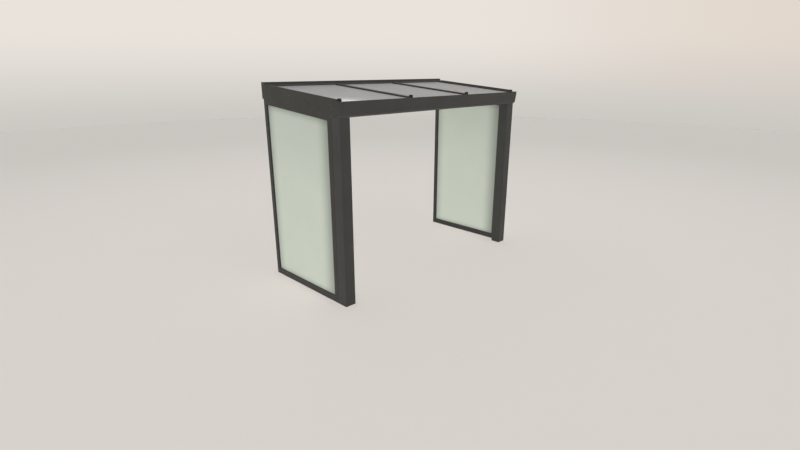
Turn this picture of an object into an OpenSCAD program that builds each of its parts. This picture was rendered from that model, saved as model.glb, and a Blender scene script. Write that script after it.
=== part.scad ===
// Lean-to patio roof: two front posts, a gutter beam, four rafters with three roof panes,
// a wall profile and a glazed trapezoid screen on each side.
// Millimetres, +Z up, front towards -Y, origin under the middle of the whole roof.

/* [Overall] */
// Width over the outer faces of the posts
roof_width = 3450; // [2600:10:4200]
// Depth from the front faces of the posts to the house wall
roof_depth = 1585; // [1200:5:2600]
// Clear height under the gutter beam
clear_height = 2280; // [1800:10:2800]
// Fall of the roof towards the gutter, in degrees
roof_slope = 5; // [3:0.5:10]

/* [Posts] */
// Outer side of the square posts
post_size = 150; // [100:5:190]
// Wall thickness of the posts
post_wall = 3; // [2:0.5:5]
// Outer corner radius of the posts
post_radius = 8; // [6:1:14]
// Thickness of the foot plate inside each post
foot_plate = 10; // [6:1:16]
// Height of the foot's sleeve inside the post
foot_sleeve = 120; // [60:10:200]
// Wall thickness of the foot's sleeve
foot_wall = 5; // [3:1:8]
// Spacing of the four ground anchors in each foot
anchor_spacing = 80; // [50:5:80]
// Diameter of the ground anchor holes
anchor_hole = 12; // [8:1:16]

/* [Gutter beam] */
// Height of the gutter's front lip above its underside
gutter_height = 177; // [150:1:220]
// Height of the gutter's back wall above its underside
gutter_back = 115; // [90:1:140]
// Height of the channel floor above the underside
gutter_floor = 60; // [30:1:80]
// Height of the angled toe at the bottom of the front face
gutter_toe = 23; // [15:1:30]
// How far the lip stands in front of the posts
lip_reach = 51; // [40:1:80]
// How far the top of the toe stands in front of the posts
toe_reach = 30; // [20:1:38]
// How far the bottom of the toe stands in front of the posts
base_reach = 5; // [2:1:15]
// Wall thickness of the gutter beam
gutter_wall = 4; // [3:0.5:6]
// Width of the inward return along the lip
lip_return = 14; // [8:1:20]
// Thickness of the end plates of the gutter, the wall profile and the roof edge
end_plate = 3; // [2:0.5:5]

/* [Wall profile] */
// Depth of the wall profile
wall_profile_depth = 90; // [60:5:120]
// Height of the wall profile with its cover
wall_profile_height = 208; // [190:1:300]
// Height of the closed lower box of the wall profile
wall_box_height = 143; // [120:1:180]
// Wall thickness of the wall profile
wall_profile_wall = 4; // [3:0.5:6]
// Thickness of the clip-on wall cover
wall_cover_wall = 3; // [2:0.5:4]
// Set-back of the wall cover's upper face
wall_cover_step = 10; // [4:1:16]
// Diameter of the fixing holes in the back of the wall profile
wall_hole = 12; // [8:1:14]
// Distance of the outer fixing holes from the ends of the roof
wall_hole_margin = 225; // [60:5:300]

/* [Rafters] */
// Width of the rafters and cover bars
rafter_width = 60; // [50:2:80]
// Depth of the rafters
rafter_depth = 134; // [110:2:160]
// Wall thickness of the rafters
rafter_wall = 3; // [2:0.5:5]
// Rise of the rafters' underside line above the gutter's underside, at the posts' front faces
rafter_rise = 11; // [5:1:20]
// Set-back of the panes' front edges behind the posts' front faces
nose_setback = 43; // [30:1:60]
// Thickness of the upright plates of the rafters' end pieces
nose_plate = 15; // [6:1:20]
// Height of the upright plates above the roof panes
nose_plate_rise = 42; // [20:1:60]
// Corner radius at the top of the upright plates
nose_plate_radius = 18; // [6:1:24]
// Height of the cover bars above the roof panes
cover_height = 20; // [8:1:30]
// Bevel along the top edges of the cover bars
cover_bevel = 5; // [2:1:6]
// Width of the cover bars' web between two panes
cover_web = 12; // [8:1:20]
// Height of the roof edge trims above the roof panes
trim_rise = 35; // [20:1:50]
// Width of the trims' top flange
trim_flange = 14; // [8:1:24]

/* [Roof glazing] */
// Thickness of the roof panes
pane_thickness = 10; // [6:1:16]
// Thickness of the seals under the roof panes
seal_thickness = 5; // [3:1:8]
// Width of the seals on the rafters
seal_width = 18; // [10:1:20]
// Edge clearance round each roof pane
pane_clearance = 2; // [1:0.5:3]
// Width and height of the seal along the wall profile
wall_seal = 4; // [3:1:14]

/* [Side screens] */
// Thickness of the side screen frames
screen_depth = 50; // [40:2:60]
// Visible width of the front stiles
front_stile_width = 72; // [50:2:90]
// Visible width of the rear stiles
rear_stile_width = 60; // [50:2:80]
// Height of the bottom rails
bottom_rail_height = 75; // [50:5:100]
// Height of the top rails
top_rail_height = 70; // [50:2:90]
// Wall thickness of the screen frames
screen_wall = 3; // [2:0.5:4]
// Thickness of the side panes
side_pane = 10; // [6:1:12]
// Set-back of the side panes from the outer face
side_recess = 20; // [14:1:26]
// Depth of the glazing grooves
groove_depth = 12; // [8:1:16]
// Clearance on each face of the side panes in their grooves
groove_clearance = 0.5; // [0.3:0.1:0.9]

/* [Hidden] */
$fn = 48;

frame_colour = [0.27, 0.27, 0.26];
cap_colour = [0.18, 0.18, 0.17];
foot_colour = [0.62, 0.63, 0.64];
seal_colour = [0.06, 0.06, 0.06];
roof_glass_colour = [0.62, 0.62, 0.60, 0.9];
side_glass_colour = [0.74, 0.78, 0.73, 0.9];

// How far a cutting shape runs past the face it cuts
cut = 1;
// Clearance between a foot and the inside of its post
foot_clearance = 0.3;
// Depth of the grooves for the pane past its edge
pane_grip = groove_depth - 2;
// Number of roof bays, with one rafter more
bays = 3;
// Number of fixing holes in the wall profile
wall_holes = 6;
// Left hand outer face of the posts
left = -roof_width / 2;
// Spacing of the fixing holes along the wall
wall_hole_spacing = (roof_width - 2 * wall_hole_margin) / (wall_holes - 1);
// Fall of the roof for each millimetre of depth
fall = tan(roof_slope);
// Upright height of a thickness of 1 measured square to the roof
upright = 1 / cos(roof_slope);
// Back face of the posts, the gutter and the front of the side screens
post_back = post_size;
// Front face of the wall profile
wall_front = roof_depth - wall_profile_depth;
// Middle of the whole roof from front to back, measured from the posts' front faces
mid_depth = (roof_depth - lip_reach) / 2;
// Heights of the roof planes where they cross the posts' front faces
rafter_base = clear_height + rafter_rise;
rafter_top = rafter_base + rafter_depth * upright;
pane_base = rafter_top + seal_thickness * upright;
pane_top = pane_base + pane_thickness * upright;
trim_top = pane_top + trim_rise;
screen_top = rafter_base - top_rail_height;
// Underside and top of the wall profile
wall_base = rafter_base + wall_front * fall;
wall_top = wall_base + wall_profile_height;
wall_box_top = wall_base + wall_box_height;
// Height of the end pieces' seat on the gutter's back wall
nose_seat = clear_height + gutter_back;
// Middle line of the first rafter, and the spacing from one to the next
first_rafter = left + end_plate + rafter_width / 2;
rafter_spacing = -2 * first_rafter / bays;
// Middle of a post from the outer face
post_mid = post_size / 2;
// Back edge of the front stile and front edge of the rear stile
stile_back = post_back + front_stile_width;
rear_stile_end = wall_front + rear_stile_width;

// Height of a roof plane at the depth y
function roof_z(y, base) = base + y * fall;

// Middle line of rafter number i, counted from 1 on the left
function rafter_x(i) = first_rafter + (i - 1) * rafter_spacing;

// Front face of the gutter, z above its underside, moved inwards by t
function gutter_face(z, t) = t - (z < gutter_toe
    ? base_reach + (toe_reach - base_reach) * z / gutter_toe
    : toe_reach + (lip_reach - toe_reach) * (z - gutter_toe) / (gutter_height - gutter_toe));

// Puts the posts' front faces where the whole roof is centred on the origin
module centred() {
    translate([0, -mid_depth, 0]) children();
}

// Draws a left hand piece on the left, or mirrors it to the right
module on_side(right) {
    if (right) mirror([1, 0, 0]) children();
    else children();
}

// Plate with an outline in depth and height, from x0 to x1
module side_plate(outline, x0, x1) {
    translate([x0, 0, 0]) rotate([90, 0, 90]) linear_extrude(height = x1 - x0) polygon(outline);
}

// Slab between two roof planes, from depth y0 to y1 and from x0 to x1
module roof_slab(y0, y1, base, top, x0, x1) {
    side_plate([[y0, roof_z(y0, base)], [y1, roof_z(y1, base)],
        [y1, roof_z(y1, top)], [y0, roof_z(y0, top)]], x0, x1);
}

// Square with round corners, centred
module rounded_square(size, radius) {
    square([size - 2 * radius, size], center = true);
    square([size, size - 2 * radius], center = true);
    for (sx = [-1, 1]) for (sy = [-1, 1])
        translate([sx, sy] * (size / 2 - radius)) circle(radius);
}

// Hollow aluminium post
module post(right) {
    color(frame_colour) centred() on_side(right)
        translate([left + post_mid, post_mid, 0]) linear_extrude(height = clear_height) difference() {
            rounded_square(post_size, post_radius);
            rounded_square(post_size - 2 * post_wall, post_radius - post_wall);
        }
}

// Anchor foot inside the bottom of a post
module post_foot(right) {
    outer = post_size - 2 * (post_wall + foot_clearance);
    radius = post_radius - post_wall - foot_clearance;
    color(foot_colour) centred() on_side(right) translate([left + post_mid, post_mid, 0]) difference() {
        linear_extrude(height = foot_sleeve) rounded_square(outer, radius);
        translate([-outer / 2 + foot_wall, -outer / 2 + foot_wall, foot_plate])
            cube([outer - 2 * foot_wall, outer - 2 * foot_wall, foot_sleeve]);
        for (sx = [-1, 1]) for (sy = [-1, 1])
            translate([sx * anchor_spacing / 2, sy * anchor_spacing / 2, -cut])
                cylinder(h = foot_plate + 2 * cut, d = anchor_hole);
    }
}

// Closed box beam that carries the channel, with the angled toe along its front
module gutter_beam() {
    t = gutter_wall;
    x0 = left + end_plate;
    color(frame_colour) centred() difference() {
        side_plate([
            [post_back, clear_height],
            [post_back, clear_height + gutter_floor],
            [gutter_face(gutter_floor, 0), clear_height + gutter_floor],
            [gutter_face(gutter_toe, 0), clear_height + gutter_toe],
            [gutter_face(0, 0), clear_height]], x0, -x0);
        side_plate([
            [post_back - t, clear_height + t],
            [post_back - t, clear_height + gutter_floor - t],
            [gutter_face(gutter_floor - t, t), clear_height + gutter_floor - t],
            [gutter_face(gutter_toe, t), clear_height + gutter_toe],
            [gutter_face(t, t), clear_height + t]], x0 - cut, cut - x0);
    }
}

// Front wall of the channel, leaning out to the lip
module gutter_fascia() {
    t = gutter_wall;
    color(frame_colour) centred() side_plate([
        [gutter_face(gutter_floor, t), clear_height + gutter_floor],
        [gutter_face(gutter_height - t, t), clear_height + gutter_height - t],
        [gutter_face(gutter_height, lip_return), clear_height + gutter_height - t],
        [gutter_face(gutter_height, lip_return), clear_height + gutter_height],
        [gutter_face(gutter_height, 0), clear_height + gutter_height],
        [gutter_face(gutter_floor, 0), clear_height + gutter_floor]], left + end_plate, -left - end_plate);
}

// Back wall of the channel, on which the rafters' end pieces rest
module gutter_back_wall() {
    color(frame_colour) centred()
        translate([left + end_plate, post_back - gutter_wall, clear_height + gutter_floor])
            cube([roof_width - 2 * end_plate, gutter_wall, gutter_back - gutter_floor]);
}

// End plate of the gutter
module gutter_cap(right) {
    color(cap_colour) centred() on_side(right) side_plate([
        [post_back, clear_height],
        [post_back, nose_seat],
        [nose_setback, nose_seat],
        [nose_setback, clear_height + gutter_height],
        [gutter_face(gutter_height, 0), clear_height + gutter_height],
        [gutter_face(gutter_toe, 0), clear_height + gutter_toe],
        [gutter_face(0, 0), clear_height]], left, left + end_plate);
}

// Wall profile: a closed box that carries the rafters and a back plate with the fixing holes
module wall_profile() {
    t = wall_profile_wall;
    color(frame_colour) centred() difference() {
        union() {
            translate([left + end_plate, wall_front, wall_base])
                cube([roof_width - 2 * end_plate, wall_profile_depth, wall_box_height]);
            translate([left + end_plate, roof_depth - t, wall_base])
                cube([roof_width - 2 * end_plate, t, wall_profile_height - wall_cover_wall]);
        }
        translate([left + end_plate - cut, wall_front + t, wall_base + t])
            cube([roof_width, wall_profile_depth - 2 * t, wall_box_height - 2 * t]);
        for (i = [0 : wall_holes - 1])
            translate([(i - (wall_holes - 1) / 2) * wall_hole_spacing, roof_depth - t - cut,
                (wall_box_top + wall_top) / 2])
                rotate([-90, 0, 0]) cylinder(h = t + 2 * cut, d = wall_hole);
    }
}

// Clip-on cover over the fixings, stepped back above a sloping shoulder
module wall_cover() {
    t = wall_cover_wall;
    shoulder = wall_top - (wall_profile_height - wall_box_height) / 2;
    back = wall_front + wall_cover_step;
    color(frame_colour) centred() side_plate([
        [wall_front, wall_box_top],
        [wall_front, shoulder - wall_cover_step],
        [back, shoulder],
        [back, wall_top],
        [roof_depth, wall_top],
        [roof_depth, wall_top - t],
        [back + t, wall_top - t],
        [back + t, shoulder - t / 2],
        [wall_front + t, shoulder - wall_cover_step - t / 2],
        [wall_front + t, wall_box_top]], left + end_plate, -left - end_plate);
}

// End plate of the wall profile
module wall_profile_cap(right) {
    shoulder = wall_top - (wall_profile_height - wall_box_height) / 2;
    back = wall_front + wall_cover_step;
    color(cap_colour) centred() on_side(right) side_plate([
        [wall_front, wall_base],
        [wall_front, shoulder - wall_cover_step],
        [back, shoulder],
        [back, wall_top],
        [roof_depth, wall_top],
        [roof_depth, wall_base]], left, left + end_plate);
}

// Hollow rafter, open at its ends against the gutter's back wall and the wall profile
module rafter(i) {
    x0 = rafter_x(i) - rafter_width / 2;
    x1 = rafter_x(i) + rafter_width / 2;
    t = rafter_wall;
    color(frame_colour) centred() difference() {
        roof_slab(post_back, wall_front, rafter_base, rafter_top, x0, x1);
        roof_slab(post_back - cut, wall_front + cut, rafter_base + t, rafter_top - t, x0 + t, x1 - t);
    }
}

// Cast end piece of a rafter: a block that rests on the gutter's back wall and carries the
// panes' front edges, and an upright plate with a rounded head that stops them
module rafter_cap(i) {
    w = rafter_width / 2;
    r = nose_plate_radius;
    top = roof_z(nose_setback, pane_top) + nose_plate_rise;
    color(cap_colour) centred() union() {
        side_plate([
            [nose_setback - cut, nose_seat],
            [post_back, nose_seat],
            [post_back, roof_z(post_back, rafter_top)],
            [nose_setback - cut, roof_z(nose_setback - cut, rafter_top)]],
            rafter_x(i) - w, rafter_x(i) + w);
        translate([rafter_x(i), nose_setback, 0]) rotate([90, 0, 0]) linear_extrude(height = nose_plate)
            union() {
                translate([-w, nose_seat]) square([rafter_width, top - r - nose_seat]);
                translate([r - w, nose_seat]) square([rafter_width - 2 * r, top - nose_seat]);
                for (s = [-1, 1]) translate([s * (w - r), top - r]) circle(r);
            }
    }
}

// Cross-section of a cover bar, measured from the top of the panes. On an end rafter its
// outer edge has a leg that reaches down to the rafter.
function cover_section(leg) = let (w = rafter_width / 2, drop = pane_thickness + seal_thickness)
    concat([
        [-w, leg ? -drop : 0],
        [-w, cover_height - cover_bevel],
        [cover_bevel - w, cover_height],
        [w - cover_bevel, cover_height],
        [w, cover_height - cover_bevel],
        [w, 0],
        [cover_web / 2, 0],
        [cover_web / 2, -drop],
        [-cover_web / 2, -drop],
        [-cover_web / 2, 0]],
        leg ? [[end_plate - w, 0], [end_plate - w, -drop]] : []);

// Bar along the roof's fall, cut upright at the end piece's plate and at the wall profile
module along_rafter(i, base) {
    length = roof_depth * 2;
    intersection() {
        translate([rafter_x(i), 0, roof_z(0, base)]) rotate([90 + roof_slope, 0, 0])
            translate([0, 0, -length]) linear_extrude(height = 2 * length) children();
        translate([rafter_x(i) - rafter_width, nose_setback, clear_height])
            cube([2 * rafter_width, wall_front - nose_setback, wall_top - clear_height]);
    }
}

// Cover bar that clamps the panes on a rafter
module cover_bar(i) {
    end_bar = i == 1 || i == bays + 1;
    color(frame_colour) centred() along_rafter(i, pane_top)
        mirror([i == 1 ? 0 : 1, 0]) polygon(cover_section(end_bar));
}

// Roof pane number i, between two cover bars
module roof_glass(i) {
    x0 = rafter_x(i) + cover_web / 2 + pane_clearance;
    x1 = rafter_x(i + 1) - cover_web / 2 - pane_clearance;
    color(roof_glass_colour) centred()
        roof_slab(nose_setback, wall_front - pane_clearance, pane_base, pane_top, x0, x1);
}

// Seals between the rafters and the roof panes
module roof_seals() {
    start = cover_web / 2 + pane_clearance;
    color(seal_colour) centred() for (i = [1 : bays]) {
        roof_slab(nose_setback, wall_front - pane_clearance, rafter_top, pane_base,
            rafter_x(i) + start, rafter_x(i) + start + seal_width);
        roof_slab(nose_setback, wall_front - pane_clearance, rafter_top, pane_base,
            rafter_x(i + 1) - start - seal_width, rafter_x(i + 1) - start);
    }
}

// Upright strips that close the gap over the gutter's back wall, up to the panes
module eaves_infill() {
    front = post_back - gutter_wall;
    color(frame_colour) centred() for (i = [1 : bays])
        side_plate([[front, nose_seat], [post_back, nose_seat],
            [post_back, roof_z(post_back, pane_base)], [front, roof_z(front, pane_base)]],
            rafter_x(i) + rafter_width / 2, rafter_x(i + 1) - rafter_width / 2);
}

// Seal on the panes along the wall profile
module wall_seal_strip() {
    color(seal_colour) centred() for (i = [1 : bays])
        roof_slab(wall_front - wall_seal, wall_front, pane_top, pane_top + wall_seal,
            rafter_x(i) + rafter_width / 2, rafter_x(i + 1) - rafter_width / 2);
}

// Flat trim on the outer face of an end rafter, with a flange along its top
module edge_trim(right) {
    color(frame_colour) centred() on_side(right) union() {
        side_plate([
            [nose_setback, nose_seat],
            [post_back, nose_seat],
            [post_back, roof_z(post_back, rafter_base)],
            [wall_front, roof_z(wall_front, rafter_base)],
            [wall_front, roof_z(wall_front, trim_top)],
            [nose_setback, roof_z(nose_setback, trim_top)]], left, left + end_plate);
        roof_slab(nose_setback, wall_front, trim_top - end_plate, trim_top, left, left + trim_flange);
    }
}

// Upright screen bar from y0 to y1, with a glazing groove on the edge that faces the pane.
// base_top is the roof plane that its head is cut to.
module stile(y0, y1, base_top, groove_at_back) {
    groove0 = groove_at_back ? y1 - groove_depth : y0;
    hollow0 = groove_at_back ? y0 + screen_wall : y0 + groove_depth + screen_wall;
    hollow_width = y1 - y0 - groove_depth - 2 * screen_wall;
    difference() {
        side_plate([[y0, 0], [y1, 0], [y1, roof_z(y1, base_top)], [y0, roof_z(y0, base_top)]],
            left, left + screen_depth);
        translate([left + screen_wall, hollow0, -cut])
            cube([screen_depth - 2 * screen_wall, hollow_width, wall_top]);
        translate([left + side_recess - groove_clearance, groove0 - (groove_at_back ? 0 : cut),
            bottom_rail_height - groove_depth])
            cube([side_pane + 2 * groove_clearance, groove_depth + cut,
                roof_z(groove0, screen_top) + groove_depth - bottom_rail_height + groove_depth]);
    }
}

// Front stile of a side screen, against the back of the post
module front_stile(right) {
    color(frame_colour) centred() on_side(right) stile(post_back, stile_back, rafter_base, true);
}

// Rear stile of a side screen, upright under the wall profile
module rear_stile(right) {
    color(frame_colour) centred() on_side(right) difference() {
        stile(wall_front, rear_stile_end, rafter_base, false);
        translate([left - cut, wall_front - cut, wall_base])
            cube([screen_depth + 2 * cut, rear_stile_width + 2 * cut, wall_profile_height]);
    }
}

// Bottom rail of a side screen
module bottom_rail(right) {
    length = wall_front - stile_back;
    hollow_height = bottom_rail_height - groove_depth - 2 * screen_wall;
    color(frame_colour) centred() on_side(right) difference() {
        translate([left, stile_back, 0]) cube([screen_depth, length, bottom_rail_height]);
        translate([left + screen_wall, stile_back - cut, screen_wall])
            cube([screen_depth - 2 * screen_wall, length + 2 * cut, hollow_height]);
        translate([left + side_recess - groove_clearance, stile_back - cut,
            bottom_rail_height - groove_depth])
            cube([side_pane + 2 * groove_clearance, length + 2 * cut, groove_depth + cut]);
    }
}

// Top rail of a side screen, parallel to the roof under the end rafter
module top_rail(right) {
    color(frame_colour) centred() on_side(right) difference() {
        roof_slab(stile_back, wall_front, screen_top, rafter_base, left, left + screen_depth);
        roof_slab(stile_back - cut, wall_front + cut, screen_top + groove_depth + screen_wall,
            rafter_base - screen_wall, left + screen_wall, left + screen_depth - screen_wall);
        roof_slab(stile_back - cut, wall_front + cut, screen_top - cut, screen_top + groove_depth,
            left + side_recess - groove_clearance, left + side_recess + side_pane + groove_clearance);
    }
}

// Frosted side pane, standing in the bottom rail's groove
module side_glass(right) {
    y0 = stile_back - pane_grip;
    y1 = wall_front + pane_grip;
    base = bottom_rail_height - groove_depth;
    color(side_glass_colour) centred() on_side(right) side_plate([
        [y0, base],
        [y1, base],
        [y1, roof_z(y1, screen_top + pane_grip)],
        [y0, roof_z(y0, screen_top + pane_grip)]], left + side_recess, left + side_recess + side_pane);
}

post(false);  // post_left
post(true);  // post_right
post_foot(false);  // post_foot_left
post_foot(true);  // post_foot_right
gutter_beam();
gutter_fascia();
gutter_back_wall();
gutter_cap(false);  // gutter_cap_left
gutter_cap(true);  // gutter_cap_right
wall_profile();
wall_cover();
wall_profile_cap(false);  // wall_profile_cap_left
wall_profile_cap(true);  // wall_profile_cap_right
rafter(1);  // rafter_1
rafter(2);  // rafter_2
rafter(3);  // rafter_3
rafter(4);  // rafter_4
cover_bar(1);  // cover_bar_1
cover_bar(2);  // cover_bar_2
cover_bar(3);  // cover_bar_3
cover_bar(4);  // cover_bar_4
rafter_cap(1);  // rafter_cap_1
rafter_cap(2);  // rafter_cap_2
rafter_cap(3);  // rafter_cap_3
rafter_cap(4);  // rafter_cap_4
roof_glass(1);  // roof_glass_1
roof_glass(2);  // roof_glass_2
roof_glass(3);  // roof_glass_3
edge_trim(false);  // edge_trim_left
edge_trim(true);  // edge_trim_right
front_stile(false);  // front_stile_left
front_stile(true);  // front_stile_right
rear_stile(false);  // rear_stile_left
rear_stile(true);  // rear_stile_right
bottom_rail(false);  // bottom_rail_left
bottom_rail(true);  // bottom_rail_right
top_rail(false);  // top_rail_left
top_rail(true);  // top_rail_right
side_glass(false);  // side_glass_left
side_glass(true);  // side_glass_right
roof_seals();
eaves_infill();
wall_seal_strip();
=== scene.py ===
"""Looks of a lean-to patio roof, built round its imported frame.

The metal members are the frame's own solids, given fine edge radii by modifiers and a powder
coat. The panes get procedural glass finishes. Screw heads, their seats and the seal beads are
modelled here and placed from the frame's own boxes. Lengths are metres.
"""

import logging
import math
from dataclasses import dataclass, field
from enum import Enum

import bpy
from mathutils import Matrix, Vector


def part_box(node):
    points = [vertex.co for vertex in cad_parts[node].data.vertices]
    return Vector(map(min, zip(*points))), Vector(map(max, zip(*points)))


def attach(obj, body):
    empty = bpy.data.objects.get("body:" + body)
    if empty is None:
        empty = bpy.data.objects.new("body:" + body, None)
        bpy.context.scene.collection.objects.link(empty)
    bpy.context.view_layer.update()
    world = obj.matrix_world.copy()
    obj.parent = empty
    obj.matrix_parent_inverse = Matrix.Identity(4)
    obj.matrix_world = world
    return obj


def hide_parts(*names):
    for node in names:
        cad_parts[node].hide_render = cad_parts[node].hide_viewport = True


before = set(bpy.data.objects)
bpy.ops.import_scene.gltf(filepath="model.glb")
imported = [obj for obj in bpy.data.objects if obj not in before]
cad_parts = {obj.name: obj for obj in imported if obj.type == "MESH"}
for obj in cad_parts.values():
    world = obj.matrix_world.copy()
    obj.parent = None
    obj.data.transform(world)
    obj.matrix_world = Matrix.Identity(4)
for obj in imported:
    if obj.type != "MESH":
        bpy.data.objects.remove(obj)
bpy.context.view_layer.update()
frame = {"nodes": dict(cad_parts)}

logging.basicConfig(level=logging.INFO, format="%(message)s")
LOG = logging.getLogger("patio_roof")

BODY = "root"

Triple = tuple[float, float, float]
Colour = Triple
Socket = bpy.types.NodeSocket
Material = bpy.types.Material
Value = Socket | Triple | float


class Side(Enum):
    """The two ends of the roof, with the sign of their X."""

    LEFT = -1
    RIGHT = 1

    @property
    def word(self) -> str:
        """The word that ends this side's node names."""
        return self.name.lower()

    @property
    def outward(self) -> Vector:
        """The direction that this side's outer faces look in."""
        return Vector((self.value, 0, 0))

    def face(self, node: str) -> float:
        """Returns the X of a CAD node's outer face on this side."""
        low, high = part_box(node)
        return (low if self is Side.LEFT else high).x


class Slot(Enum):
    """The record's material slots that new pieces belong to."""

    FRAME = "frame_coating"
    CAPS = "end_caps"
    SEAL = "rubber_seal"


class Joint(Enum):
    """What a second solid does to a working copy."""

    ADD = "UNION"
    CUT = "DIFFERENCE"


# ---------------------------------------------------------------------------------------------
# Shader and geometry node helpers
# ---------------------------------------------------------------------------------------------


class NodeKit:
    """Short calls for adding and linking the nodes of one tree."""

    prefix = ""

    def __init__(self, tree: bpy.types.NodeTree) -> None:
        """Starts on a tree that is there already."""
        self.tree = tree

    def feed(self, socket: Socket, value: Value) -> None:
        """Gives a socket what it reads.

        Args:
            socket: the input socket.
            value: a number, a colour or vector, or another node's output.
        """
        if isinstance(value, Socket):
            self.tree.links.new(value, socket)
        elif socket.type == "RGBA":
            socket.default_value = (*value, 1.0)
        else:
            socket.default_value = value

    def node(self, kind: str, inputs: dict[str | int, Value] | None = None, **settings) -> bpy.types.Node:
        """Adds a node.

        Args:
            inputs: what its sockets read, by name or number.
            **settings: the node's own properties.

        Returns:
            The new node.
        """
        made = self.tree.nodes.new(self.prefix + kind)
        for key, value in settings.items():
            setattr(made, key, value)
        for key, value in (inputs or {}).items():
            self.feed(made.inputs[key], value)
        return made


class ShaderKit(NodeKit):
    """The shader nodes that the finishes and the backdrop share."""

    prefix = "ShaderNode"

    def span(self, value: Socket, start: float, end: float,
             low: float, high: float, smooth: bool = True) -> Socket:
        """Maps a value to a new range and holds it at both ends.

        Args:
            value: the value to map.
            start: the value that becomes low.
            end: the value that becomes high.
            low: the result at start and before it.
            high: the result at end and after it.
            smooth: whether the change is eased at both ends.

        Returns:
            The mapped value.
        """
        ranged = self.node("MapRange", {
            "Value": value, "From Min": start, "From Max": end, "To Min": low, "To Max": high},
            interpolation_type="SMOOTHSTEP" if smooth else "LINEAR")
        return ranged.outputs["Result"]

    def math(self, operation: str, first: Socket | float, second: Socket | float) -> Socket:
        """Returns the result of one arithmetic node on two sockets or numbers."""
        return self.node("Math", {0: first, 1: second}, operation=operation).outputs[0]

    def blend(self, fac: Socket, first: Socket | Colour, second: Socket | Colour) -> Socket:
        """Returns a colour between two colours."""
        return self.node("Mix", {0: fac, 6: first, 7: second}, data_type="RGBA").outputs[2]


class FinishTree(ShaderKit):
    """A material and its node tree."""

    def __init__(self, name: str) -> None:
        """Starts a material that holds only a Principled shader and its output."""
        self.material = bpy.data.materials.new(name)
        self.material.use_nodes = True
        super().__init__(self.material.node_tree)
        self.shader = self.tree.nodes["Principled BSDF"]

    def place(self) -> Socket:
        """Returns the Object coordinates, which are the roof's own metres."""
        return self.node("TexCoord").outputs["Object"]

    def noise(self, size: float, detail: float, stretch: Triple = (1, 1, 1)) -> Socket:
        """Adds a noise pattern.

        Args:
            size: the size of one blotch, in metres.
            detail: how many finer octaves it has.
            stretch: factors on the three axes, below 1 where the pattern is drawn out.

        Returns:
            The noise value, which mostly lies between 0.3 and 0.7.
        """
        mapping = self.node("Mapping", {"Vector": self.place(), "Scale": stretch})
        noise = self.node("TexNoise", {
            "Vector": mapping.outputs["Vector"], "Scale": 1.0 / size, "Detail": detail})
        return noise.outputs["Fac"]

    def scaled(self, colour: Colour, factor: Socket) -> Socket:
        """Returns a colour multiplied by a factor."""
        return self.node("VectorMath", {0: colour, "Scale": factor}, operation="SCALE").outputs["Vector"]

    def bump(self, height: Socket, depth: float, strength: float) -> None:
        """Adds the bump of a fine relief.

        Args:
            height: the relief's pattern.
            depth: how deep the relief is, in metres.
            strength: how much of it shows.
        """
        made = self.node("Bump", {"Strength": strength, "Distance": depth, "Height": height})
        self.set(normal=made.outputs["Normal"])

    def set(self, **values: Value) -> None:
        """Feeds the shader's sockets, named with underlines for spaces."""
        sockets = {s.name.lower(): s for s in reversed(list(self.shader.inputs))}
        for key, value in values.items():
            self.feed(sockets[key.replace("_", " ")], value)


class ShapeTree(NodeKit):
    """A Geometry Nodes tree with named inputs that turns a carrier mesh into a finished shape."""

    def __init__(self, name: str, **inputs: str) -> None:
        """Starts a tree with a geometry input, a geometry output, a finish and its own inputs.

        Args:
            name: the tree's name.
            **inputs: the kind of each further input, by its name.
        """
        super().__init__(bpy.data.node_groups.new(name, "GeometryNodeTree"))
        sockets = self.tree.interface
        sockets.new_socket("Geometry", in_out="OUTPUT", socket_type="NodeSocketGeometry")
        sockets.new_socket("Geometry", in_out="INPUT", socket_type="NodeSocketGeometry")
        self.keys: dict[str, str] = {}
        for label, kind in {"Finish": "Material", **inputs}.items():
            socket = sockets.new_socket(label, in_out="INPUT", socket_type="NodeSocket" + kind)
            self.keys[label] = socket.identifier
        self.start = self.node("NodeGroupInput")
        self.end = self.node("NodeGroupOutput")

    def finish_with(self, shape: Socket) -> None:
        """Ends the tree in Realize Instances and Set Material.

        Args:
            shape: the shape that the tree has made.
        """
        real = self.node("GeometryNodeRealizeInstances", {"Geometry": shape})
        dressed = self.node("GeometryNodeSetMaterial", {
            "Geometry": real.outputs["Geometry"], "Material": self.start.outputs["Finish"]})
        self.feed(self.end.inputs["Geometry"], dressed.outputs["Geometry"])

    def stand_on_points(self, shape: Socket) -> None:
        """Ends the tree with a shape on each point of the carrier.

        Args:
            shape: the shape, whose Z is turned along the input Facing.
        """
        start = self.start.outputs
        turn = self.node("FunctionNodeAlignRotationToVector", {"Vector": start["Facing"]}, axis="Z")
        copies = self.node("GeometryNodeInstanceOnPoints", {
            "Points": start["Geometry"], "Instance": shape, "Rotation": turn.outputs["Rotation"]})
        self.finish_with(copies.outputs["Instances"])

    def make(self, name: str, points: list[Vector], edges: list[tuple[int, int]],
             **inputs) -> bpy.types.Object:
        """Runs the tree on a carrier of loose points and edges.

        Args:
            name: the finished piece's name.
            points: the carrier's points, in the roof's own metres.
            edges: pairs of point numbers.
            **inputs: the tree's named inputs.

        Returns:
            A plain mesh object with no modifier.
        """
        mesh = bpy.data.meshes.new(name + "_carrier")
        mesh.from_pydata([tuple(p) for p in points], edges, [])
        carrier = bpy.data.objects.new(name + "_carrier", mesh)
        bpy.context.scene.collection.objects.link(carrier)
        modifier = carrier.modifiers.new("shape", "NODES")
        modifier.node_group = self.tree
        for label, value in inputs.items():
            modifier[self.keys[label]] = value
        ready = carrier.evaluated_get(bpy.context.evaluated_depsgraph_get())
        finished = bpy.data.objects.new(name, bpy.data.meshes.new_from_object(ready))
        bpy.context.scene.collection.objects.link(finished)
        bpy.data.objects.remove(carrier)
        bpy.data.meshes.remove(mesh)
        return finished


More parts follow.
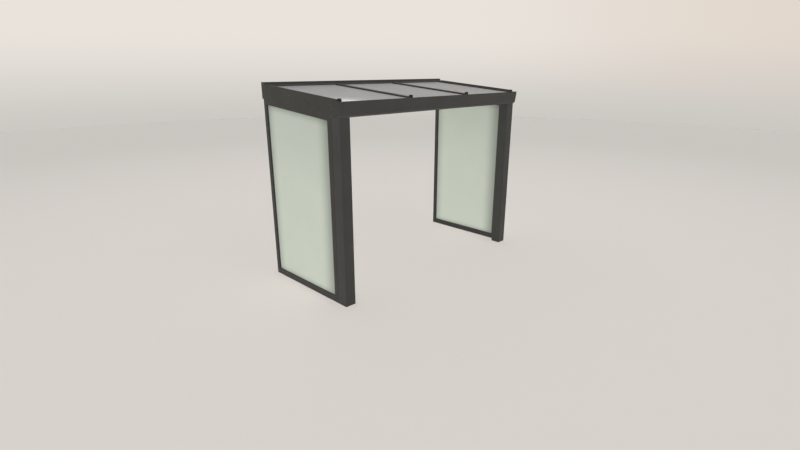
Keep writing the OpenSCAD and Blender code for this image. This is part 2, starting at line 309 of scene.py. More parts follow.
def screw_tree() -> ShapeTree:
    """Builds the tree of low screw heads with a sloping rim and a round socket.

    Returns:
        A tree that stands a head on each point, with the inputs Radius, Height and Facing.
    """
    corners = 20
    top_share, socket_share, socket_depth_share = 0.72, 0.55, 0.6
    upward = 0.9
    tree = ShapeTree("screw_heads", Radius="Float", Height="Float", Facing="Vector")
    start = tree.start.outputs
    shoulder = tree.node("ShaderNodeMath", {0: start["Radius"], 1: top_share}, operation="MULTIPLY")
    head = tree.node("GeometryNodeMeshCone", {
        "Vertices": corners, "Side Segments": 1, "Radius Top": shoulder.outputs[0],
        "Radius Bottom": start["Radius"], "Depth": start["Height"]})
    normal = tree.node("GeometryNodeInputNormal")
    up = tree.node("ShaderNodeSeparateXYZ", {0: normal.outputs[0]})
    top = tree.node("ShaderNodeMath", {0: up.outputs["Z"], 1: upward}, operation="GREATER_THAN")
    rim = tree.node("GeometryNodeExtrudeMesh", {
        "Mesh": head.outputs["Mesh"], "Selection": top.outputs[0], "Offset Scale": 0.0,
        "Individual": False})
    socket = tree.node("GeometryNodeScaleElements", {
        "Geometry": rim.outputs["Mesh"], "Selection": rim.outputs["Top"], "Scale": socket_share})
    depth = tree.node("ShaderNodeMath", {0: start["Height"], 1: -socket_depth_share}, operation="MULTIPLY")
    sunk = tree.node("GeometryNodeExtrudeMesh", {
        "Mesh": socket.outputs["Geometry"], "Selection": rim.outputs["Top"],
        "Offset Scale": depth.outputs[0], "Individual": False})
    tree.stand_on_points(sunk.outputs["Mesh"])
    return tree


def seat_tree() -> ShapeTree:
    """Builds the tree of short cylinders that cut the seats of sunk screws.

    Returns:
        A tree that stands a cylinder across each point, with the inputs Radius, Depth and Facing.
    """
    corners = 28
    tree = ShapeTree("screw_seats", Radius="Float", Depth="Float", Facing="Vector")
    start = tree.start.outputs
    length = tree.node("ShaderNodeMath", {0: start["Depth"], 1: 2.0}, operation="MULTIPLY")
    cutter = tree.node("GeometryNodeMeshCylinder", {
        "Vertices": corners, "Radius": start["Radius"], "Depth": length.outputs[0]})
    tree.stand_on_points(cutter.outputs["Mesh"])
    return tree


def bead_tree() -> ShapeTree:
    """Builds the tree of a round bead.

    Returns:
        A tree that follows the carrier's edges, with the input Radius.
    """
    corners = 10
    tree = ShapeTree("seal_bead", Radius="Float")
    start = tree.start.outputs
    path = tree.node("GeometryNodeMeshToCurve", {"Mesh": start["Geometry"]})
    ring = tree.node("GeometryNodeCurvePrimitiveCircle", {"Resolution": corners, "Radius": start["Radius"]})
    bead = tree.node("GeometryNodeCurveToMesh", {
        "Curve": path.outputs["Curve"], "Profile Curve": ring.outputs["Curve"], "Fill Caps": True})
    tree.finish_with(bead.outputs["Mesh"])
    return tree


# ---------------------------------------------------------------------------------------------
# Finishes
# ---------------------------------------------------------------------------------------------


@dataclass(frozen=True)
class PowderCoat:
    """Matt anthracite powder coat with a fine leathery grain and slight cloudiness."""

    name: str = "anthracite_powder_coat"
    colour: Colour = (0.049, 0.0495, 0.047)
    cloud_size: float = 0.35
    cloud: float = 0.06
    wear_size: float = 0.06
    grain: float = 0.0012
    grain_depth: float = 0.00006
    roughness: float = 0.48
    sheen: float = 0.2

    def material(self) -> Material:
        """Returns the finish as a material."""
        tree = FinishTree(self.name)
        clouds = tree.noise(self.cloud_size, detail=4.0)
        factor = tree.span(clouds, 0.3, 0.7, 1.0 - self.cloud, 1.0 + self.cloud)
        worn = tree.noise(self.wear_size, detail=5.0)
        tree.set(base_color=tree.scaled(self.colour, factor),
                 roughness=tree.span(worn, 0.25, 0.75, self.roughness - 0.06, self.roughness + 0.07),
                 specular_ior_level=self.sheen)
        tree.bump(tree.noise(self.grain, detail=3.0), self.grain_depth, 0.6)
        return tree.material


@dataclass(frozen=True)
class GalvanisedSteel:
    """Hot-dip zinc with its large dull spangle."""

    name: str = "galvanised_steel"
    dark: Colour = (0.36, 0.37, 0.38)
    light: Colour = (0.55, 0.56, 0.57)
    spangle: float = 0.012

    def material(self) -> Material:
        """Returns the finish as a material."""
        tree = FinishTree(self.name)
        cells = tree.node("TexVoronoi", {"Vector": tree.place(), "Scale": 1.0 / self.spangle})
        grey = tree.node("RGBToBW", {"Color": cells.outputs["Color"]}).outputs["Val"]
        tree.set(base_color=tree.blend(grey, self.dark, self.light),
                 roughness=tree.span(grey, 0.0, 1.0, 0.38, 0.6), metallic=0.85)
        return tree.material


@dataclass(frozen=True)
class ScrewSteel:
    """Coated stainless screw heads, a little lighter than the frame."""

    name: str = "coated_screw_steel"
    colour: Colour = (0.16, 0.157, 0.15)
    brush_size: float = 0.0006
    brush_depth: float = 0.00003

    def material(self) -> Material:
        """Returns the finish as a material."""
        tree = FinishTree(self.name)
        brushed = tree.noise(self.brush_size, detail=2.0, stretch=(1.0, 1.0, 0.2))
        tree.set(base_color=tree.scaled(self.colour, tree.span(brushed, 0.2, 0.8, 0.85, 1.15)),
                 metallic=0.7, roughness=0.34)
        tree.bump(brushed, self.brush_depth, 0.4)
        return tree.material


@dataclass(frozen=True)
class SealRubber:
    """Matt black rubber with a faint dusty bloom."""

    name: str = "seal_rubber"
    fresh: Colour = (0.018, 0.018, 0.018)
    dusty: Colour = (0.045, 0.044, 0.042)
    bloom_size: float = 0.02
    grain: float = 0.0008
    grain_depth: float = 0.00005

    def material(self) -> Material:
        """Returns the finish as a material."""
        tree = FinishTree(self.name)
        bloom = tree.span(tree.noise(self.bloom_size, detail=5.0), 0.4, 0.75, 0.0, 1.0)
        tree.set(base_color=tree.blend(bloom, self.fresh, self.dusty), roughness=0.72)
        tree.bump(tree.noise(self.grain, detail=2.0), self.grain_depth, 0.5)
        return tree.material


@dataclass(frozen=True)
class MilkyPane:
    """Grey milky laminated roof glass: smooth on top, with a faint cloudiness in its depth."""

    name: str = "milky_roof_pane"
    colour: Colour = (0.308, 0.306, 0.300)
    cloud_size: float = 0.5
    film_size: float = 0.08
    wave_size: float = 0.6
    wave_depth: float = 0.0003
    roughness: float = 0.34

    def material(self) -> Material:
        """Returns the finish as a material."""
        tree = FinishTree(self.name)
        factor = tree.span(tree.noise(self.cloud_size, detail=3.0), 0.3, 0.7, 0.98, 1.02)
        film = tree.noise(self.film_size, detail=4.0)
        tree.set(base_color=tree.scaled(self.colour, factor),
                 roughness=tree.span(film, 0.3, 0.7, self.roughness - 0.03, self.roughness + 0.05),
                 ior=1.45, specular_ior_level=0.02)
        tree.bump(tree.noise(self.wave_size, detail=0.0), self.wave_depth, 0.2)
        return tree.material


@dataclass(frozen=True)
class FrostedPane:
    """Pale green frosted glass with painted shade that darkens it softly where the frame keeps the light from
    it.

    Each fade of painted shade holds the distance from the edge at which it starts, the distance at which it
    ends, and the factor that it starts with.
    """

    name: str
    front: float
    rear: float
    bottom: float
    top: float
    fall: float
    colour: Colour = (0.592, 0.652, 0.567)
    roughness: float = 0.42
    front_fade: Triple = (-0.06, 0.26, 0.46)
    rear_fade: Triple = (-0.06, 0.17, 0.68)
    bottom_fade: Triple = (-0.05, 0.09, 0.70)
    top_fade: Triple = (-0.05, 0.10, 0.55)
    roof_fade: Triple = (0.0, 0.95, 0.87)
    cloud_size: float = 0.6
    etch_size: float = 0.1
    grain: float = 0.0009
    grain_depth: float = 0.00004

    def shade(self, tree: FinishTree) -> Socket:
        """Works out the painted shade that darkens the pane towards its four edges and its top.

        Args:
            tree: the material's tree.

        Returns:
            A factor of 1 in the middle of the pane.
        """
        place = tree.node("SeparateXYZ", {0: tree.place()}).outputs
        roof_line = tree.math("ADD", tree.math("MULTIPLY", place["Y"], self.fall), self.top)
        from_top = tree.math("SUBTRACT", roof_line, place["Z"])
        parts = [
            tree.span(tree.math("SUBTRACT", place["Y"], self.front), *self.front_fade, 1.0),
            tree.span(tree.math("SUBTRACT", self.rear, place["Y"]), *self.rear_fade, 1.0),
            tree.span(tree.math("SUBTRACT", place["Z"], self.bottom), *self.bottom_fade, 1.0),
            tree.span(from_top, *self.top_fade, 1.0),
            tree.span(from_top, *self.roof_fade, 1.0, smooth=False),
        ]
        shade = parts[0]
        for part in parts[1:]:
            shade = tree.math("MULTIPLY", shade, part)
        return shade

    def material(self) -> Material:
        """Returns the finish as a material."""
        tree = FinishTree(self.name)
        clouds = tree.span(tree.noise(self.cloud_size, detail=3.0), 0.3, 0.7, 0.985, 1.015)
        etched = tree.noise(self.etch_size, detail=4.0)
        # The base colour carries the painted edge shade times the pane's random clouds.
        tree.set(base_color=tree.scaled(self.colour, tree.math("MULTIPLY", self.shade(tree), clouds)),
                 roughness=tree.span(etched, 0.3, 0.7, self.roughness - 0.04, self.roughness + 0.06),
                 ior=1.5, specular_ior_level=0.3)
        tree.bump(tree.noise(self.grain, detail=2.0), self.grain_depth, 0.5)
        return tree.material


@dataclass
class Finishes:
    """All finishes of the roof that don't depend on one pane's place, made once."""

    frame: Material = field(init=False)
    sides: Material = field(init=False)
    shaded_cover_bars: Material = field(init=False)
    caps: Material = field(init=False)
    foot: Material = field(init=False)
    screw: Material = field(init=False)
    seal: Material = field(init=False)
    wall_seal: Material = field(init=False)
    roof_pane: Material = field(init=False)

    def __post_init__(self) -> None:
        """Makes the materials."""
        self.frame = PowderCoat().material()
        # Painted shade: a darker copy of the frame's powder coat for the side pieces, which carry the same
        # real coat.
        self.sides = PowderCoat("side_shaded_powder_coat", (0.0435, 0.0425, 0.039)).material()
        # Painted shade: a still darker copy of the frame's powder coat for the cover bars, which carry the
        # same real coat.
        self.shaded_cover_bars = PowderCoat("cover_bar_shaded_powder_coat", (0.034, 0.033, 0.031)).material()
        self.caps = PowderCoat("dark_powder_coat", (0.024, 0.024, 0.023), grain=0.0009).material()
        self.foot = GalvanisedSteel().material()
        self.screw = ScrewSteel().material()
        self.seal = SealRubber().material()
        self.wall_seal = SealRubber("grey_silicone", (0.24, 0.24, 0.235), (0.29, 0.285, 0.28)).material()
        self.roof_pane = MilkyPane().material()


@dataclass
class Workshop:
    """What every sub-assembly needs: the finishes, the shape trees and how edges are eased."""

    finishes: Finishes = field(default_factory=Finishes)
    screws: ShapeTree = field(default_factory=screw_tree)
    seats: ShapeTree = field(default_factory=seat_tree)
    beads: ShapeTree = field(default_factory=bead_tree)
    screw_gap: float = 0.0008
    weld_distance: float = 1e-5
    flat_angle: float = math.radians(1.0)
    edge_angle: float = math.radians(28.0)
    edge_segments: int = 2

    def coat(self, node: str, finish: Material, radius: float = 0.0) -> None:
        """Gives a CAD node its finish and, where asked, a fine radius along its edges.

        Args:
            node: the CAD node's name.
            finish: the material of all its faces.
            radius: the edge radius in metres, or 0 for the edges as they are.
        """
        piece = frame["nodes"][node]
        if not piece.material_slots:
            piece.data.materials.append(finish)
        for slot in piece.material_slots:
            slot.material = finish
        if radius > 0:
            self.ease(piece, radius)
        LOG.info("coated %s with %s", node, finish.name)

    def ease(self, piece: bpy.types.Object, radius: float) -> None:
        """Adds the modifiers that merge a solid's loose triangles and round its edges.

        Args:
            piece: a CAD node or a working copy of one.
            radius: the edge radius.
        """
        weld = piece.modifiers.new("weld", "WELD")
        weld.merge_threshold = self.weld_distance
        flat = piece.modifiers.new("flat", "DECIMATE")
        flat.decimate_type = "DISSOLVE"
        flat.angle_limit = self.flat_angle
        bevel = piece.modifiers.new("edges", "BEVEL")
        bevel.limit_method = "ANGLE"
        bevel.angle_limit = self.edge_angle
        bevel.width = radius
        bevel.segments = self.edge_segments
        bevel.loop_slide = False

    def combine(self, work: bpy.types.Object, other: bpy.types.Object, joint: Joint) -> None:
        """Adds a modifier that joins another solid to a working copy or cuts it away.

        Args:
            work: the working copy.
            other: the other solid.
            joint: whether the solid is added or cut away.
        """
        modifier = work.modifiers.new(joint.name.lower(), "BOOLEAN")
        modifier.operation = joint.value
        modifier.solver = "EXACT"
        modifier.object = other

    def copy_of(self, node: str) -> bpy.types.Object:
        """Makes a copy of a CAD node that can be worked on.

        Args:
            node: the CAD node's name.

        Returns:
            The copy, in the node's place, at the origin and unturned.
        """
        source = frame["nodes"][node]
        work = bpy.data.objects.new(f"{node}_work", source.data.copy())
        work.data.transform(source.matrix_world)
        bpy.context.scene.collection.objects.link(work)
        return work

    def freeze(self, name: str, work: bpy.types.Object, finish: Material,
               helpers: list[bpy.types.Object]) -> bpy.types.Object:
        """Turns a working copy with its modifiers into a plain piece.

        Args:
            name: the piece's name.
            work: the working copy, which is removed.
            finish: the material of the whole piece.
            helpers: objects that the modifiers used, which are removed too.

        Returns:
            The piece.
        """
        ready = work.evaluated_get(bpy.context.evaluated_depsgraph_get())
        piece = bpy.data.objects.new(name, bpy.data.meshes.new_from_object(ready))
        piece.data.materials.clear()
        piece.data.materials.append(finish)
        bpy.context.scene.collection.objects.link(piece)
        for spare in (work, *helpers):
            mesh = spare.data
            bpy.data.objects.remove(spare)
            bpy.data.meshes.remove(mesh)
        return piece

    def fuse(self, name: str, nodes: list[str], finish: Material, slot: Slot, radius: float) -> None:
        """Replaces CAD nodes that are parts of one extrusion with a single seamless piece.

        Args:
            name: the piece's name.
            nodes: the CAD nodes.
            finish: the material of the piece.
            slot: not used.
            radius: the edge radius.
        """
        work, *others = [self.copy_of(node) for node in nodes]
        for other in others:
            self.combine(work, other, Joint.ADD)
        self.ease(work, radius)
        piece = self.freeze(name, work, finish, others)
        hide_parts(*nodes)
        self.adopt(piece)

    def drill(self, node: str, finish: Material, slot: Slot, edge_radius: float,
              points: list[Vector], facing: Vector, radius: float = 0.006, depth: float = 0.0016) -> None:
        """Replaces a CAD node with a copy that has sunk screws in its outer face.

        Args:
            node: the CAD node's name.
            finish: the material of the copy.
            slot: not used.
            edge_radius: the radius of the copy's edges.
            points: the screws' middles on the outer face.
            facing: the direction that the outer face looks in.
            radius: the radius of the screw heads.
            depth: the depth of their seats.
        """
        work = self.copy_of(node)
        self.ease(work, edge_radius)
        cutter = self.seats.make(f"{node}_seats", points, [], Radius=radius + self.screw_gap, Depth=depth,
                                 Facing=tuple(facing))
        self.combine(work, cutter, Joint.CUT)
        piece = self.freeze(f"{node}_drilled", work, finish, [cutter])
        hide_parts(node)
        self.adopt(piece)
        head_height = depth - self.screw_gap / 4
        self.screw_row(f"{node}_screws", [p - facing * depth for p in points], facing, radius, head_height)

    def adopt(self, piece: bpy.types.Object) -> None:
        """Lets a new piece ride on the roof and logs its face count."""
        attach(piece, BODY)
        LOG.info("made %s, %d faces", piece.name, len(piece.data.polygons))

    def screw_row(self, name: str, points: list[Vector], facing: Vector,
                  radius: float, height: float = 0.0024) -> None:
        """Makes a group of screw heads that face the same way.

        Args:
            name: the piece's name.
            points: the seats of the heads on the metal.
            facing: the direction that the heads face.
            radius: the heads' radius.
            height: how far the heads stand out of their seats.
        """
        piece = self.screws.make(name, points, [], Radius=radius, Height=height,
                                 Facing=tuple(facing), Finish=self.finishes.screw)
        self.adopt(piece)

    def bead(self, name: str, lines: list[list[Vector]], closed: bool, radius: float) -> None:
        """Makes rubber beads along lines.

        Args:
            name: the piece's name.
            lines: the beads' middle lines.
            closed: whether each line returns to its start.
            radius: the beads' radius.
        """
        points: list[Vector] = []
        edges: list[tuple[int, int]] = []
        for line in lines:
            first = len(points)
            points += line
            edges += [(first + i, first + i + 1) for i in range(len(line) - 1)]
            if closed:
                edges.append((first + len(line) - 1, first))
        piece = self.beads.make(name, points, edges, Radius=radius, Finish=self.finishes.seal)
        self.adopt(piece)


def roof_fall() -> float:
    """Works out the roof's slope from the first roof pane's own points.

    Returns:
        The rise for each metre of depth.
    """
    edge = 1e-4
    low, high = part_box("roof_glass_1")
    points = [v.co for v in frame["nodes"]["roof_glass_1"].data.vertices]
    front_top = max(p.z for p in points if p.y < low.y + edge)
    return (high.z - front_top) / (high.y - low.y)


# ---------------------------------------------------------------------------------------------
# Sub-assemblies
# ---------------------------------------------------------------------------------------------


@dataclass
class FrontPosts:
    """The two hollow front posts, whose corners are rounded in the frame, and their anchor feet."""

    shop: Workshop

    def build(self) -> None:
        """Dresses the posts and their feet."""
        for side in Side:
            self.shop.coat(f"post_{side.word}", self.shop.finishes.frame)
            self.shop.coat(f"post_foot_{side.word}", self.shop.finishes.foot)


@dataclass
class GutterBeam:
    """The front beam with its open channel, its end plates and their screws."""

    shop: Workshop
    edge_radius: float = 0.0015
    cap_edge_radius: float = 0.0005
    screw_inset: float = 0.013
    lip_screw_inset: float = 0.01733
    toe_screw_inset: float = 0.0338
    screw_rise: float = 0.0208
    seat_screw_drop: float = 0.0195

    def build(self) -> None:
        """Dresses the beam and adds the screws of its end plates."""
        self.shop.fuse("gutter_extrusion", ["gutter_beam", "gutter_fascia", "gutter_back_wall"],
                       self.shop.finishes.frame, Slot.FRAME, self.edge_radius)
        for side in Side:
            self.cap(side)

    def cap(self, side: Side) -> None:
        """Makes one end plate with its four sunk screws.

        Args:
            side: the end of the roof that the plate closes.
        """
        node = f"gutter_cap_{side.word}"
        low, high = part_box(node)
        face = side.face(node)
        back = high.y - self.screw_inset
        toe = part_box("gutter_beam")[0].y + self.toe_screw_inset
        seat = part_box("gutter_back_wall")[1].z
        points = [
            Vector((face, low.y + self.lip_screw_inset, high.z - self.screw_inset)),
            Vector((face, toe, low.z + self.screw_rise)),
            Vector((face, back, seat - self.seat_screw_drop)),
            Vector((face, back, low.z + self.screw_rise)),
        ]
        self.shop.drill(node, self.shop.finishes.sides, Slot.CAPS, self.cap_edge_radius, points,
                        side.outward)


@dataclass
class WallBeam:
    """The wall profile with its clip-on cover, end plates and seal."""

    shop: Workshop
    edge_radius: float = 0.0015
    cap_edge_radius: float = 0.0005
    screw_inset: float = 0.014
    front_screw_inset: float = 0.0224

    def build(self) -> None:
        """Dresses the profile and adds the screws of its end plates."""
        finishes = self.shop.finishes
        self.shop.coat("wall_profile", finishes.frame, self.edge_radius)
        self.shop.coat("wall_cover", finishes.frame, self.edge_radius)
        self.shop.coat("wall_seal_strip", finishes.wall_seal)
        for side in Side:
            cap = f"wall_profile_cap_{side.word}"
            low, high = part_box(cap)
            points = [Vector((side.face(cap), y, z))
                      for y in (low.y + self.front_screw_inset, high.y - self.screw_inset)
                      for z in (low.z + self.screw_inset, high.z - self.screw_inset)]
            self.shop.drill(cap, finishes.sides, Slot.CAPS, self.cap_edge_radius, points, side.outward)


@dataclass
class RoofRafters:
    """The rafters with their end pieces, cover bars and edge trims.

    The trim screws' front place and height count from the rafters' front foot, and their rear
    place from the trim's rear end.
    """

    shop: Workshop
    count: int = 4
    edge_radius: float = 0.0012
    trim_edge_radius: float = 0.0004
    screw_radius: float = 0.0055
    end_screw_height_share: float = 0.36
    trim_screws: int = 4
    trim_screw_front: float = 0.007
    trim_screw_rear: float = 0.12
    trim_screw_height: float = 0.110
    seal_radius: float = 0.0022
    seal_rise: float = 0.00132

    def build(self) -> None:
        """Dresses the rafters and adds the screws of their end pieces and trims."""
        finishes = self.shop.finishes
        for number in range(1, self.count + 1):
            self.shop.coat(f"rafter_{number}", finishes.frame, self.edge_radius)
            self.shop.coat(f"cover_bar_{number}", finishes.shaded_cover_bars, self.edge_radius)
            self.shop.coat(f"rafter_cap_{number}", finishes.caps, self.edge_radius)
            self.end_screws(number)
        self.cover_seals()
        for side in Side:
            self.trim(side)

    def end_screws(self, number: int) -> None:
        """Adds the two screws in the front of one rafter's end piece.

        Args:
            number: the rafter's number, from the left.
        """
        low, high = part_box(f"rafter_cap_{number}")
        middle = (low.x + high.x) / 2
        spread = (high.x - low.x) / 4
        height = low.z + (high.z - low.z) * self.end_screw_height_share
        points = [Vector((middle + s * spread, low.y, height)) for s in (-1, 1)]
        self.shop.screw_row(f"rafter_cap_screws_{number}", points, Vector((0, -1, 0)), self.screw_radius)

    def trim(self, side: Side) -> None:
        """Makes one roof edge trim with its row of sunk screws, parallel to the roof.

        Args:
            side: the end of the roof that the trim covers.
        """
        node = f"edge_trim_{side.word}"
        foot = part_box("rafter_1")[0]
        fall = roof_fall()
        start = foot.y + self.trim_screw_front
        step = (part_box(node)[1].y - self.trim_screw_rear - start) / (self.trim_screws - 1)
        points = []
        for number in range(self.trim_screws):
            y = start + step * number
            points.append(Vector((side.face(node), y, foot.z + self.trim_screw_height + fall * (y - foot.y))))
        self.shop.drill(node, self.shop.finishes.sides, Slot.FRAME, self.trim_edge_radius, points,
                        side.outward, self.screw_radius)

    def cover_seals(self) -> None:
        """Adds the rubber beads that show along both sides of the cover bars on the panes."""
        pane_low, pane_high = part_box("roof_glass_1")
        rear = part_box("wall_seal_strip")[0].y
        ends = []
        for y in (pane_low.y, rear):
            ends.append((y, pane_high.z - roof_fall() * (pane_high.y - y) + self.seal_rise))
        lines = []
        for number in range(1, self.count + 1):
            low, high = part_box(f"cover_bar_{number}")
            for x, shown in ((low.x, number > 1), (high.x, number < self.count)):
                if shown:
                    lines.append([Vector((x, y, z)) for y, z in ends])
        self.shop.bead("cover_bar_seals", lines, False, self.seal_radius)


@dataclass
class RoofPanes:
    """The three milky roof panes, the seals that they lie on and the infill over the gutter."""

    shop: Workshop
    count: int = 3
    edge_radius: float = 0.001
    infill_edge_radius: float = 0.0008

    def build(self) -> None:
        """Dresses the panes, their seals and the strips over the gutter's back wall."""
        for number in range(1, self.count + 1):
            self.shop.coat(f"roof_glass_{number}", self.shop.finishes.roof_pane, self.edge_radius)
        self.shop.coat("roof_seals", self.shop.finishes.seal)
        self.shop.coat("eaves_infill", self.shop.finishes.frame, self.infill_edge_radius)


@dataclass
class SideScreen:
    """One glazed side screen: two stiles, two rails, the frosted pane and its seals.

    Each of the stile screws is the stile's name, the screws' distance from its front edge and the
    upper screw's distance from its top.
    """

    shop: Workshop
    side: Side
    edge_radius: float = 0.0012
    pane_edge_radius: float = 0.0008
    seal_radius: float = 0.0035
    seal_inset: float = 0.00245
    screw_radius: float = 0.0065
    stile_screws: tuple[tuple[str, float, float], ...] = (
        ("front_stile", 0.017, 0.031),
        ("rear_stile", 0.030, 0.035),
    )

    def node(self, name: str) -> str:
        """Returns the name of one of this screen's CAD nodes."""
        return f"{name}_{self.side.word}"

    def build(self) -> None:
        """Dresses the screen and adds its seals and corner screws."""
        for name in ("bottom_rail", "top_rail"):
            self.shop.coat(self.node(name), self.shop.finishes.sides, self.edge_radius)
        self.shop.coat(self.node("side_glass"), self.pane_finish(), self.pane_edge_radius)
        self.seals()
        self.stiles()

    def opening(self) -> tuple[float, float, float, float, float]:
        """Measures the opening in the frame.

        Returns:
            Its front, rear and bottom, and its top at the front and at the rear.
        """
        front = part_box(self.node("front_stile"))[1].y
        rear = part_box(self.node("rear_stile"))[0].y
        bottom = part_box(self.node("bottom_rail"))[1].z
        top_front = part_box(self.node("top_rail"))[0].z
        return front, rear, bottom, top_front, top_front + roof_fall() * (rear - front)

    def pane_finish(self) -> Material:
        """Returns the frosted finish, with its painted shade fitted to this screen's opening."""
        front, rear, bottom, top_front, _ = self.opening()
        fall = roof_fall()
        return FrostedPane(f"frosted_pane_{self.side.word}", front, rear, bottom,
                           top_front - fall * front, fall).material()

    def seals(self) -> None:
        """Adds the rubber bead round both faces of the pane."""
        front, rear, bottom, top_front, top_rear = self.opening()
        low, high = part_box(self.node("side_glass"))
        inset = self.seal_inset
        lines = []
        for x in (low.x - inset, high.x + inset):
            lines.append([
                Vector((x, front + inset, bottom + inset)),
                Vector((x, rear - inset, bottom + inset)),
                Vector((x, rear - inset, top_rear - inset)),
                Vector((x, front + inset, top_front - inset)),
            ])
        self.shop.bead(self.node("side_pane_seals"), lines, True, self.seal_radius)

    def stiles(self) -> None:
        """Makes both stiles with the sunk screws that hold the post and the rails."""
        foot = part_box(self.node("bottom_rail"))[1].z / 2
        for name, inset, drop in self.stile_screws:
            stile = self.node(name)
            low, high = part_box(stile)
            points = [Vector((self.side.face(stile), low.y + inset, z)) for z in (high.z - drop, foot)]
            self.shop.drill(stile, self.shop.finishes.sides, Slot.FRAME, self.edge_radius, points,
                            self.side.outward, self.screw_radius)


# ---------------------------------------------------------------------------------------------
# Stage
# ---------------------------------------------------------------------------------------------


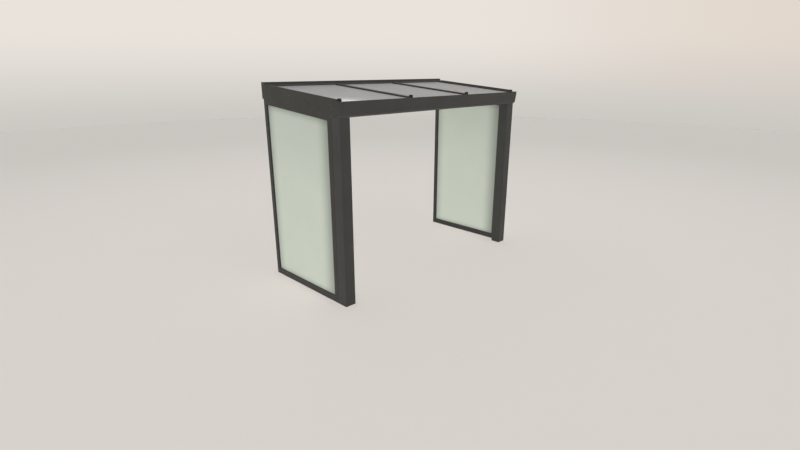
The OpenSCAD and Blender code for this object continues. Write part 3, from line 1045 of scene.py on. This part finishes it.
@dataclass
class Studio:
    """A pale floor, a plain soft light and the camera.

    The fills are even lights without shadows: where each comes from, where it shines, and the
    part of its own colour that a surface square to it shows. The horizon and the warm side are
    the two ends of the backdrop's changes, upwards and to the right. The glint stands that far in
    from the first roof pane's corner and above its rafter's end piece.
    """

    floor_colour: Colour = (0.685, 0.645, 0.612)
    floor_rim_colour: Colour = (0.585, 0.566, 0.535)
    floor_radius: float = 24.0
    floor_corners: int = 128
    floor_fade: tuple[float, float] = (4.0, 16.0)
    far_colour: Colour = (0.597, 0.578, 0.546)
    top_colour: Colour = (0.815, 0.768, 0.714)
    right_colour: Colour = (0.760, 0.682, 0.612)
    horizon: tuple[float, float] = (-0.11, 0.07)
    warm_side: tuple[float, float] = (0.1, 0.65)
    sky_colour: Colour = (1.0, 0.995, 0.985)
    sky_strength: float = 0.35
    fills: tuple[tuple[str, Triple, float], ...] = (
        ("above", (0, 0, -1), 0.59),
        ("left", (1, 0, 0), 0.37),
        ("right", (-1, 0, 0), 0.50),
        ("front", (0, 1, 0), 0.29),
        ("rear", (0, -1, 0), 0.38),
        ("below", (0, 0, 1), 0.25),
    )
    fill_spread: float = math.radians(20.0)
    glint_power: float = 1.7
    glint_size: float = 0.03
    glint_offset: Triple = (0.19, 0.05, 0.14)
    camera_place: Triple = (-5.047, -4.9935, 2.7873)
    camera_heading: float = math.radians(45.2)
    camera_dip: float = math.radians(17.9)
    camera_lens: float = 21.71
    camera_sensor: float = 36.0
    camera_reach: float = 200.0

    def build(self) -> None:
        """Makes the floor, the light and the camera."""
        self.floor()
        self.world()
        for name, direction, level in self.fills:
            self.fill(name, Vector(direction), level)
        self.glint()
        self.camera()

    def add(self, name: str, data: bpy.types.ID) -> bpy.types.Object:
        """Returns a new object of the scene that holds a mesh, a light or a camera."""
        made = bpy.data.objects.new(name, data)
        bpy.context.scene.collection.objects.link(made)
        return made

    def floor(self) -> None:
        """Makes the floor, a disc that is paler near the roof than far off."""
        turns = [2 * math.pi * i / self.floor_corners for i in range(self.floor_corners)]
        rim = [(self.floor_radius * math.cos(t), self.floor_radius * math.sin(t), 0) for t in turns]
        mesh = bpy.data.meshes.new("floor")
        mesh.from_pydata(rim, [], [tuple(range(self.floor_corners))])
        tree = FinishTree("floor_finish")
        distance = tree.node("VectorMath", {0: tree.place()}, operation="LENGTH").outputs["Value"]
        far = tree.span(distance, *self.floor_fade, 0.0, 1.0)
        tree.set(base_color=tree.blend(far, self.floor_colour, self.floor_rim_colour),
                 roughness=0.9, specular_ior_level=0.05)
        mesh.materials.append(tree.material)
        self.add("floor", mesh)

    def backdrop(self, kit: ShaderKit) -> Socket:
        """Blends the backdrop's colour, from the horizon upwards and towards its warm side.

        Args:
            kit: the world's tree.

        Returns:
            The colour in each direction.
        """
        direction = kit.node("TexCoord").outputs["Generated"]
        rightward = (math.cos(self.camera_heading), -math.sin(self.camera_heading), 0.0)
        across = kit.node("VectorMath", {0: direction, 1: rightward}, operation="DOT_PRODUCT")
        warm = kit.span(across.outputs["Value"], *self.warm_side, 0.0, 1.0)
        upward = kit.node("SeparateXYZ", {0: direction}).outputs["Z"]
        high = kit.span(upward, *self.horizon, 0.0, 1.0)
        return kit.blend(high, self.far_colour, kit.blend(warm, self.top_colour, self.right_colour))

    def world(self) -> None:
        """Lights the roof evenly, and shows the pale backdrop to the camera and in reflections."""
        world = bpy.data.worlds.new("studio")
        bpy.context.scene.world = world
        world.use_nodes = True
        world.node_tree.nodes.clear()
        kit = ShaderKit(world.node_tree)
        light = kit.node("Background", {"Color": self.sky_colour, "Strength": self.sky_strength})
        shown = kit.node("Background", {"Color": self.backdrop(kit)})
        ray = kit.node("LightPath").outputs
        seen = kit.math("MAXIMUM", ray["Is Camera Ray"], ray["Is Glossy Ray"])
        seen = kit.math("MAXIMUM", seen, ray["Is Transmission Ray"])
        mix = kit.node("MixShader", {0: seen, 1: light.outputs[0], 2: shown.outputs[0]})
        kit.node("OutputWorld", {"Surface": mix.outputs[0]})

    def fill(self, name: str, direction: Vector, level: float) -> None:
        """Adds one even light that throws no shadow.

        Args:
            name: where the light comes from.
            direction: the direction in which it shines.
            level: the part of its colour that a surface square to it shows.
        """
        lamp = bpy.data.lights.new(f"fill_{name}", "SUN")
        lamp.energy = level * math.pi
        lamp.angle = self.fill_spread
        lamp.use_shadow = False
        light = self.add(f"fill_{name}", lamp)
        light.rotation_euler = direction.to_track_quat("-Z", "Y").to_euler()
        light.visible_glossy = False

    def glint(self) -> None:
        """Adds a tiny lamp close above the near corner of the roof, for the glow on the first pane."""
        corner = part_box("roof_glass_1")[0]
        x, y, z = self.glint_offset
        lamp = bpy.data.lights.new("glint", "POINT")
        lamp.energy = self.glint_power
        lamp.shadow_soft_size = self.glint_size
        light = self.add("glint", lamp)
        light.location = (corner.x + x, corner.y + y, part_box("rafter_cap_1")[1].z + z)
        light.visible_glossy = False
        light.visible_camera = False

    def camera(self) -> None:
        """Places the camera at the front left, a little above the roof, looking down."""
        data = bpy.data.cameras.new("camera")
        data.sensor_width = self.camera_sensor
        data.lens = self.camera_lens
        data.clip_end = self.camera_reach
        camera = self.add("camera", data)
        camera.location = self.camera_place
        camera.rotation_euler = (math.pi / 2 - self.camera_dip, 0.0, -self.camera_heading)
        bpy.context.scene.camera = camera


def main() -> None:
    """Builds the stage and the roof's sub-assemblies in order."""
    bpy.context.scene.view_settings.view_transform = "Standard"
    Studio().build()
    shop = Workshop()
    FrontPosts(shop).build()
    GutterBeam(shop).build()
    WallBeam(shop).build()
    RoofRafters(shop).build()
    RoofPanes(shop).build()
    for side in Side:
        SideScreen(shop, side).build()


if __name__ == "__main__":
    main()
